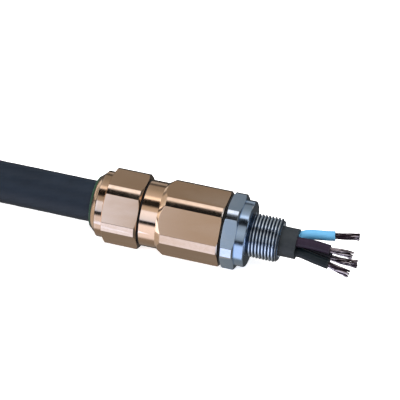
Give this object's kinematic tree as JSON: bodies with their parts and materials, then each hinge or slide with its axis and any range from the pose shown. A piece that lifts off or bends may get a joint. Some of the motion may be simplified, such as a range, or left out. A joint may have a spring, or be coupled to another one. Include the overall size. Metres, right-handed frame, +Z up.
{
  "type": "cable gland",
  "caption": "Brass cable gland with hexagon nut, long hexagon body and plated threaded entry, clamped on a short sample of wire-armoured multi-core cable.",
  "frame": {"origin": "bottom centre of the gland without its cable: midway along the gland, on the axis's vertical plane, at the height of the hexagon flats that it lies on", "axes": "+X along the gland's axis from the cable side to the entry thread, +Z up through the upper hexagon flats, +Y completes the right-handed frame"},
  "size_m": [0.1992, 0.0346, 0.032],
  "materials": {
    "gland_brass": "turned and milled, polished, rose tone",
    "plain_brass": "as turned",
    "nickel_plate": "bright nickel plate over turned brass",
    "nylon_washer": "natural nylon",
    "seal_rubber": "dark green-black moulded rubber",
    "o_ring_rubber": "black moulded rubber",
    "cable_sheath": "satin extruded sheath, blue-black",
    "galvanised_steel": "galvanised wire",
    "bedding": "extruded, dull black",
    "blue_insulation": "satin light blue",
    "brown_insulation": "satin dark brown",
    "black_insulation": "satin black",
    "grey_insulation": "satin dark grey",
    "copper_strand": "stranded copper, darkened"
  },
  "bodies": {
    "root": {"entry_item": "nickel_plate", "body_o_ring": "o_ring_rubber", "inner_seal": "seal_rubber", "inner_seal_washer": "nylon_washer", "armour_cone": "plain_brass", "cable_outer_sheath": "cable_sheath", "armour_wires": "galvanised_steel", "cable_bedding": "bedding", "core_blue": "blue_insulation", "core_brown": "brown_insulation", "core_black": "black_insulation", "core_grey": "grey_insulation", "conductor_blue": "copper_strand", "conductor_brown": "copper_strand", "conductor_black": "copper_strand", "conductor_grey": "copper_strand"},
    "clamp": {"armour_clamping_ring": "plain_brass"},
    "body": {"gland_body": "gland_brass", "outer_seal": "seal_rubber", "nut_o_ring": "o_ring_rubber"},
    "washer": {"skid_washer": "nylon_washer"},
    "nut": {"outer_seal_nut": "gland_brass", "nose_seal": "seal_rubber"}
  },
  "joints": [
    {"name": "body_travel", "type": "slide", "parent": "root", "child": "clamp", "axis": [-1, 0, 0], "range_m": [0, 0.009]},
    {"name": "body_turn", "type": "hinge", "parent": "clamp", "child": "body", "pos_m": [0, 0, 0.016], "axis": [-1, 0, 0], "range_deg": [0, 2160]},
    {"name": "nut_travel", "type": "slide", "parent": "body", "child": "washer", "axis": [-1, 0, 0], "range_m": [0, 0.012]},
    {"name": "nut_turn", "type": "hinge", "parent": "washer", "child": "nut", "pos_m": [0, 0, 0.016], "axis": [-1, 0, 0], "range_deg": [0, 2880]}
  ],
  "couplings": [
    {"joint": "body_travel", "follows": "body_turn", "m_per_rad": 0.00023873},
    {"joint": "nut_travel", "follows": "nut_turn", "m_per_rad": 0.00023873}
  ]
}
